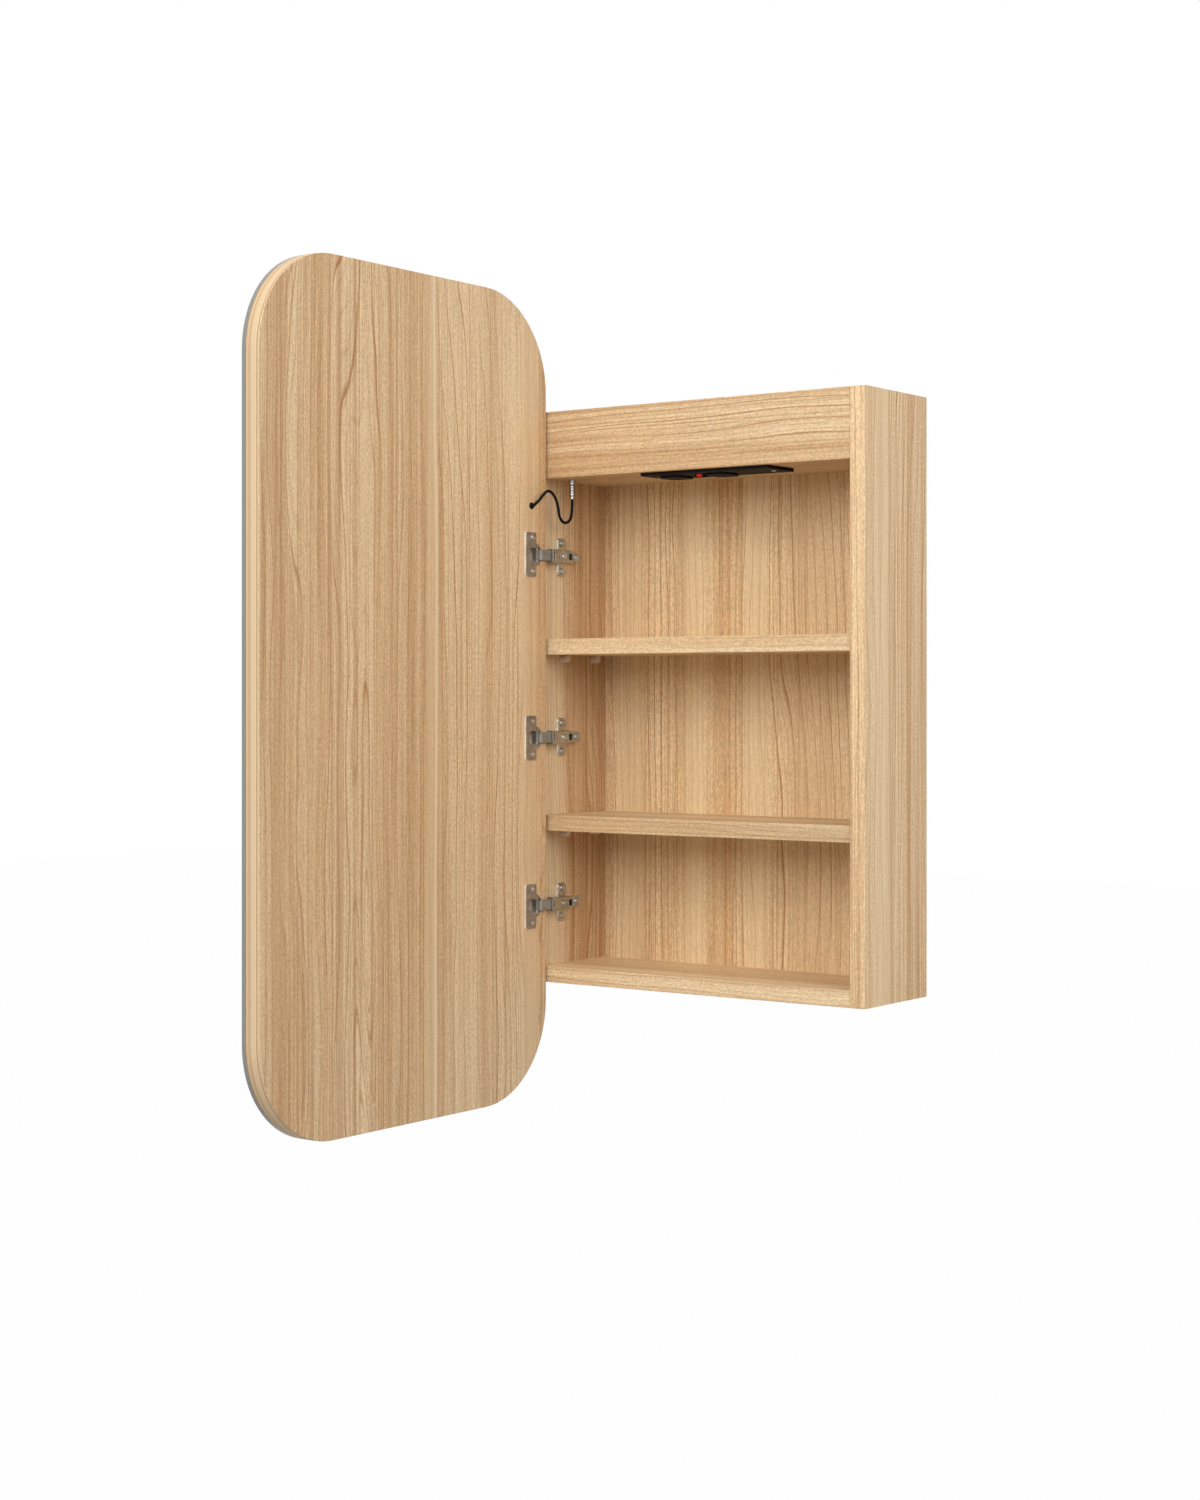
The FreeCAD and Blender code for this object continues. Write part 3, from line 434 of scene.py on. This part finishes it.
def metal(name, colour, roughness, metallic=1.0, grain=DRAWN_GRAIN, edge_highlight_tone=None, lit_pocket=None):
    """Plated steel with fine drawn lines, faint smudges and edges worn soft; a dull plating is less metallic.

    The edge tone is a painted highlight on a plate's edges, whose broad face looks along X. The hollow is a
    depth along X and a lighter, less metallic tone below it: painted light in the pocket.
    """
    g = Graph(name)
    drawn = g.noise(g.stretch(g.place, grain), detail=2.0)
    smudge = g.noise(g.place, scale=SMUDGE_SCALE, detail=3.0)
    level = g.spread(smudge, Ramp(0.25, 0.75, 1.0 - SMUDGE_DULL, 1.0 + SMUDGE_DULL / 2))
    level = g.math("MULTIPLY", level, g.spread(drawn, DRAWN_TONE))
    # Painted light: the pocket below the given depth is lighter and not metallic
    if lit_pocket:
        depth, pocket_light_tone = lit_pocket
        in_lit_pocket = g.spread(g.split(g.place)[0], Ramp(depth - LIT_POCKET_BLUR, depth + LIT_POCKET_BLUR, 1.0, 0.0))
        colour = g.mix(in_lit_pocket, colour, pocket_light_tone)
        metallic = g.math("MULTIPLY_ADD", in_lit_pocket, -metallic, metallic)
    # Painted highlight: a pale tone on the plate's edges, kept out of the pocket
    if edge_highlight_tone:
        painted_edge_highlight = g.spread(g.facing_x(), EDGE_HIGHLIGHT_RAMP)
        if lit_pocket:
            painted_edge_highlight = g.math("MULTIPLY", painted_edge_highlight, g.math("SUBTRACT", 1.0, in_lit_pocket))
        colour = g.mix(painted_edge_highlight, colour, edge_highlight_tone)
    g.bump(drawn, *DRAWN_BUMP, edge=WORN_EDGE)
    rough = g.math("MULTIPLY_ADD", drawn, DRAWN_ROUGHNESS, roughness - ROUGHNESS_DROP)
    rough = g.math("MULTIPLY_ADD", smudge, SMUDGE_ROUGHNESS, rough)
    return g.finish(Base_Color=g.shade(colour, level), Metallic=metallic, Roughness=rough)


def plastic(name, colour, roughness, speck=1400.0, relief=0.10, **extra):
    """Moulded plastic: a fine spark-eroded grain and slight unevenness of gloss."""
    g = Graph(name)
    grain = g.noise(g.place, scale=speck, detail=1.0)
    cloud = g.noise(g.place, scale=CLOUD_SCALE, detail=3.0)
    tint = g.shade(colour, g.spread(cloud, CLOUD_TONE))
    g.bump(grain, relief, SPECK_DEPTH)
    rough = g.math("MULTIPLY_ADD", grain, SPECK_ROUGHNESS, roughness - ROUGHNESS_DROP)
    rough = g.math("MULTIPLY_ADD", cloud, CLOUD_ROUGHNESS, rough)
    return g.finish(Base_Color=tint, Roughness=rough, **extra)


def door_inset(g):
    """How far a place on the door lies inside its outline."""
    _, y, z = g.split(g.place)
    low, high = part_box("mirror_glass")
    over_y = g.math("SUBTRACT", g.away(y, (low.y + high.y) / 2), DOOR_HALF[0] - DOOR_CORNER)
    over_z = g.math("SUBTRACT", g.math("ABSOLUTE", z), DOOR_HALF[1] - DOOR_CORNER)
    past_y = g.math("MAXIMUM", over_y, 0.0)
    past_z = g.math("MAXIMUM", over_z, 0.0)
    squares = g.math("ADD", g.math("MULTIPLY", past_y, past_y), g.math("MULTIPLY", past_z, past_z))
    inside = g.math("MINIMUM", g.math("MAXIMUM", over_y, over_z), 0.0)
    return g.math("SUBTRACT", DOOR_CORNER, g.math("ADD", g.math("SQRT", squares), inside))


def mirror_material():
    """Silvered glass: clear reflection in front, a frosted band over the light strip, grey-green edges."""
    g = Graph("mirror_silver")
    from_band = g.away(door_inset(g), FROST_INSET + FROST_WIDTH / 2)
    frost_edge = Ramp(FROST_WIDTH / 2 - FROST_BLUR, FROST_WIDTH / 2 + FROST_BLUR, 1.0, 0.0)
    normal_x = g.split(g.normal)[0]
    front = g.spread(g.math("MULTIPLY", normal_x, -1.0), FACING)
    back = g.spread(normal_x, FACING)
    frost = g.math("MULTIPLY", g.spread(from_band, frost_edge), front)
    speckle = g.noise(g.place, scale=GLASS_SPECKLE_SCALE, detail=1.0)
    edge_tone = g.mix(g.spread(speckle, GLASS_SPECKLE), GLASS_EDGE_DARK, GLASS_EDGE_PALE)
    colour = g.mix(front, edge_tone, SILVER_TONE)
    colour = g.mix(frost, colour, FROST_TONE)
    colour = g.mix(back, colour, GLASS_BACK_TONE)
    metallic = g.math("MULTIPLY", front, g.math("SUBTRACT", 1.0, frost))
    roughness = g.math("MULTIPLY_ADD", front, -SILVER_SMOOTHS, GLASS_EDGE_ROUGHNESS)
    roughness = g.math("MULTIPLY_ADD", frost, FROST_ROUGHENS, roughness)
    g.bump(g.math("MULTIPLY", speckle, frost), *FROST_BUMP)
    return g.finish(Base_Color=colour, Metallic=metallic, Roughness=roughness)


def strip_material():
    """Light strip: white backing with a raised lamp at even steps, and a little dust."""
    g = Graph("strip_white")
    _, y, z = g.split(g.place)
    step = g.math("FRACT", g.math("MULTIPLY", g.math("ADD", y, z), STRIP_LAMPS))
    lamp = g.spread(g.away(step, 0.5), STRIP_LAMP)
    dust = g.noise(g.place, scale=STRIP_DUST_SCALE, detail=2.0)
    g.bump(g.math("ADD", lamp, g.math("MULTIPLY", dust, STRIP_DUST_DEPTH)), *STRIP_BUMP)
    return g.finish(Base_Color=g.mix(lamp, STRIP_BACKING, STRIP_PHOSPHOR),
                    Roughness=g.spread(dust, STRIP_ROUGHNESS))


def turned_metal():
    """Turned and nickel-plated plug: fine turning rings, and painted shade in dark lines where its steps meet.
    """
    g = Graph("plug_nickel")
    _, _, z = g.split(g.place)
    turning = g.math("SINE", g.math("MULTIPLY", z, PLUG_TURNING))
    smudge = g.noise(g.place, scale=PLUG_SMUDGE_SCALE, detail=2.0)
    level = g.spread(smudge, PLUG_SMUDGE_TONE)
    # Painted shade: darker in a thin line at each step's crease
    for step in PLUG_STEPS:
        level = g.math("MULTIPLY", level, g.spread(g.away(z, step), PLUG_STEP_SHADE))
    g.bump(turning, *PLUG_BUMP)
    return g.finish(Base_Color=g.shade(PLUG_NICKEL, level), Metallic=1.0,
                    Roughness=g.spread(smudge, PLUG_ROUGHNESS))


def smooth_line(points):
    """Points along the route's smooth curve."""
    curve = bpy.data.curves.new("cable_line", "CURVE")
    curve.dimensions = "3D"
    curve.resolution_u = CABLE_CURVE_STEPS
    spline = curve.splines.new("NURBS")
    spline.points.add(len(points) - 1)
    for point, place in zip(spline.points, points):
        point.co = (*place, 1.0)
    spline.order_u = CABLE_CURVE_ORDER
    spline.use_endpoint_u = True
    holder = bpy.data.objects.new("cable_line", curve)
    scene.collection.objects.link(holder)
    mesh = bpy.data.meshes.new_from_object(holder)
    line = [vertex.co.copy() for vertex in mesh.vertices]
    bpy.data.objects.remove(holder)
    bpy.data.curves.remove(curve)
    bpy.data.meshes.remove(mesh)
    return line


def tube(name, line, radius, sides):
    """A closed mesh tube along a line, without twist."""
    vertices = []
    faces = []
    tangent = (line[1] - line[0]).normalized()
    across = tangent.orthogonal().normalized()
    for index, place in enumerate(line):
        ahead = line[min(index + 1, len(line) - 1)]
        behind = line[max(index - 1, 0)]
        turned = (ahead - behind).normalized()
        across.rotate(tangent.rotation_difference(turned))
        tangent = turned
        up = tangent.cross(across)
        for side in range(sides):
            angle = 2 * math.pi * side / sides
            vertices.append(place + (across * math.cos(angle) + up * math.sin(angle)) * radius)
    for ring in range(len(line) - 1):
        start = ring * sides
        above = start + sides
        for side in range(sides):
            following = (side + 1) % sides
            faces.append((start + side, start + following, above + following, above + side))
    faces.append(tuple(reversed(range(sides))))
    last = (len(line) - 1) * sides
    faces.append(tuple(range(last, last + sides)))
    mesh = bpy.data.meshes.new(name)
    mesh.from_pydata(vertices, [], faces)
    mesh.shade_smooth()
    piece = bpy.data.objects.new(name, mesh)
    scene.collection.objects.link(piece)
    return piece


def dress(material, *names):
    for name in names:
        slots = nodes[name].data.materials
        slots.clear()
        slots.append(material)


def seen_or_mirrored(tree):
    """One for rays that the camera, a gloss or a glass sends."""
    path = tree.nodes.new("ShaderNodeLightPath")
    any_of = path.outputs["Is Camera Ray"]
    for kind in ("Is Glossy Ray", "Is Transmission Ray"):
        either = tree.nodes.new("ShaderNodeMath")
        either.operation = "MAXIMUM"
        tree.links.new(any_of, either.inputs[0])
        tree.links.new(path.outputs[kind], either.inputs[1])
        any_of = either.outputs[0]
    return any_of


def floor_material():
    """Pale and matt, and nearly all white where it is seen."""
    material = bpy.data.materials.new("floor_pale")
    material.use_nodes = True
    tree = material.node_tree
    tree.nodes.clear()
    matt = tree.nodes.new("ShaderNodeBsdfDiffuse")
    matt.inputs["Color"].default_value = FLOOR_MATT
    glow = tree.nodes.new("ShaderNodeEmission")
    glow.inputs["Color"].default_value = WHITE
    share = tree.nodes.new("ShaderNodeMath")
    share.operation = "MULTIPLY"
    share.inputs[1].default_value = FLOOR_WHITE_SHARE
    tree.links.new(seen_or_mirrored(tree), share.inputs[0])
    blend = tree.nodes.new("ShaderNodeMixShader")
    tree.links.new(share.outputs[0], blend.inputs[0])
    tree.links.new(matt.outputs[0], blend.inputs[1])
    tree.links.new(glow.outputs[0], blend.inputs[2])
    out = tree.nodes.new("ShaderNodeOutputMaterial")
    tree.links.new(blend.outputs[0], out.inputs["Surface"])
    return material


def light_world():
    """White where it is seen, and a soft fill for the rest."""
    world = bpy.data.worlds.new("studio")
    world.use_nodes = True
    scene.world = world
    tree = world.node_tree
    background = tree.nodes["Background"]
    background.inputs["Color"].default_value = WHITE
    level = tree.nodes.new("ShaderNodeMapRange")
    level.inputs["To Min"].default_value = AMBIENT
    level.inputs["To Max"].default_value = 1.0
    tree.links.new(seen_or_mirrored(tree), level.inputs["Value"])
    tree.links.new(level.outputs[0], background.inputs["Strength"])


def soft_lamp(lamp):
    data = bpy.data.lights.new(lamp.name, "AREA")
    data.shape = "RECTANGLE"
    data.size, data.size_y = lamp.size
    data.energy = lamp.power
    holder = bpy.data.objects.new(lamp.name, data)
    holder.location = lamp.place
    holder.rotation_euler = (Vector(lamp.aim) - Vector(lamp.place)).to_track_quat("-Z", "Y").to_euler()
    holder.visible_glossy = lamp.mirrored
    scene.collection.objects.link(holder)


# Camera
camera_data = bpy.data.cameras.new("camera")
camera_data.sensor_width = CAMERA_SENSOR
camera_data.lens = CAMERA_LENS
camera_data.shift_y = CAMERA_SHIFT_Y
camera = bpy.data.objects.new("camera", camera_data)
camera.location = CAMERA_PLACE
camera.rotation_euler = (math.radians(90), 0, math.radians(CAMERA_TURN))
scene.collection.objects.link(camera)
scene.camera = camera
scene.view_settings.view_transform = "Standard"

# Cable
rubber = plastic("cable_rubber", (0.004, 0.004, 0.005), 0.70, speck=2200.0, relief=0.12,
                 Specular_IOR_Level=0.15)
cable_line = smooth_line([Vector(point) for point in CABLE_ROUTE])
cable = tube("cable", cable_line, CABLE_DIAMETER / 2, CABLE_SIDES)
cable.data.materials.append(rubber)
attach(cable, "case")
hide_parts("door_cable")
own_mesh(cable)

# Wood: the tones make lighter and darker copies of one wood for the boards, painted light and shade
door_streaks = (
    Streak(-0.339, 0.014, 0.40, WOOD_PALE),
    Streak(-0.332, 0.0032, 0.65, WOOD_WHITISH),
    Streak(-0.486, 0.007, 0.38, WOOD_LINE),
    Streak(-0.462, 0.004, 0.30, WOOD_LINE),
    Streak(-0.168, 0.024, 0.45, WOOD_PALE),
    Streak(-0.582, 0.026, 0.20, WOOD_LINE),
)
left_streaks = (
    Streak(-0.112, 0.032, 0.50, WOOD_PALE),
    Streak(-0.040, 0.060, 0.26, WOOD_LINE),
)
right_streaks = (
    Streak(-0.081, 0.0022, 0.60, WOOD_LINE),
    Streak(-0.096, 0.026, 0.42, WOOD_PALE),
    Streak(-0.026, 0.030, 0.10, WOOD_LINE),
)
back_streaks = (
    Streak(-0.165, 0.026, 0.42, WOOD_PALE),
    Streak(-0.076, 0.022, 0.48, WOOD_PALE),
    Streak(0.008, 0.022, 0.52, WOOD_PALE),
    Streak(0.085, 0.060, 0.30, WOOD_WARM),
)
dress(wood("wood_door", "yxz", 3.1, streaks=door_streaks, banded=True, wave=0.9, figure=0.92, leaf=4.2),
      "door_board")
dress(wood("wood_left", "yxz", 5.6, streaks=left_streaks, tone=(0.96, 1.02, 1.08), figure=1.25),
      "left_side_panel")
dress(wood("wood_right", "yxz", 7.9, streaks=right_streaks, tone=(1.08, 1.08, 1.07)), "right_side_panel")
dress(wood("wood_back", "xyz", 1.4, streaks=back_streaks, tone=(1.03, 1.08, 1.08), wave=1.2,
           rings=CLOSE_RINGS), "back_panel")
dress(wood("wood_fascia", "zyx", 2.2, tone=(0.97, 0.98, 0.98), wave=0.7, rings=CLOSE_RINGS, figure=0.75),
      "fascia_panel")
dress(wood("wood_top", "zyx", 4.4), "top_panel")
dress(wood("wood_bottom", "zyx", 6.3, tone=(1.12, 1.19, 1.25), figure=0.5), "bottom_panel")
dress(wood("wood_divider", "zyx", 8.8, tone=(0.94, 1.02, 1.12)), "divider_panel")
dress(wood("wood_upper_shelf", "zyx", 9.5, tone=(1.10, 1.18, 1.24), figure=0.5), "upper_shelf")
dress(wood("wood_lower_shelf", "zyx", 11.2, tone=(0.98, 1.05, 1.10), wave=0.6, figure=0.6), "lower_shelf")
dress(wood("wood_dowels", "zyx", 12.7), "case_dowels")

# Hinges
nickel = metal("hinge_nickel", (0.490, 0.500, 0.490), 0.32)
cup_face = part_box("upper_hinge_cup")[1].x
# The cup's pocket is lighter and not metallic, painted light; its edges, like the plate's below, get a pale
# painted highlight
cast = metal("cup_nickel", (0.350, 0.315, 0.270), 0.36, metallic=0.60, edge_highlight_tone=(0.95, 0.94, 0.92),
             lit_pocket=(cup_face - CUP_FLANGE, (0.56, 0.48, 0.40)))
# The plate's edges get a pale painted highlight
plate = metal("plate_nickel", (0.540, 0.550, 0.540), 0.24, edge_highlight_tone=(0.90, 0.89, 0.87))
link = metal("hinge_link_steel", (0.265, 0.245, 0.205), 0.50, metallic=0.15, grain=LINK_GRAIN)
screw = metal("screw_steel", (0.540, 0.515, 0.480), 0.28, grain=EVEN_GRAIN)
for place in ("upper", "middle", "lower"):
    dress(nickel, place + "_hinge_arm")
    dress(cast, place + "_hinge_cup")
    dress(plate, place + "_mounting_plate")
    dress(link, place + "_hinge_link")
dress(screw, "plate_screws", "cup_screws", "arm_adjusting_screws", "arm_tail_screws", "arm_pins", "cup_pins",
      "outlet_screws", "driver_screws")

# Electrics
black = plastic("outlet_black", (0.006, 0.006, 0.007), 0.62, Specular_IOR_Level=0.12)
dress(black, "outlet_plate", "left_socket", "right_socket", "rocker", "outlet_back_box")
# The red mark glows a little, though it is no lamp: painted light
dress(plastic("rocker_red_glowing", (0.86, 0.018, 0.010), 0.30, Emission_Color=(1.0, 0.02, 0.01),
              Emission_Strength=0.25), "rocker_mark")
dress(plastic("driver_white", (0.78, 0.78, 0.75), 0.50), "lamp_driver")
dress(turned_metal(), "cable_plug", "cable_socket")
dress(rubber, "cable_grommet")
dress(strip_material(), "light_strip")

# Mirror and pegs
dress(mirror_material(), "mirror_glass")
dress(plastic("peg_clear", (0.90, 0.72, 0.58), 0.50, speck=500.0, relief=0.03, Transmission_Weight=0.15,
              Specular_IOR_Level=0.20), "shelf_pegs")

# Floor and light
floor_mesh = bpy.data.meshes.new("floor")
corners = [(x * FLOOR_REACH, y * FLOOR_REACH, FLOOR_HEIGHT) for x, y in ((-1, -1), (1, -1), (1, 1), (-1, 1))]
floor_mesh.from_pydata(corners, [], [(0, 1, 2, 3)])
floor = bpy.data.objects.new("floor", floor_mesh)
scene.collection.objects.link(floor)
floor_mesh.materials.append(floor_material())
light_world()
for lamp in LAMPS:
    soft_lamp(lamp)
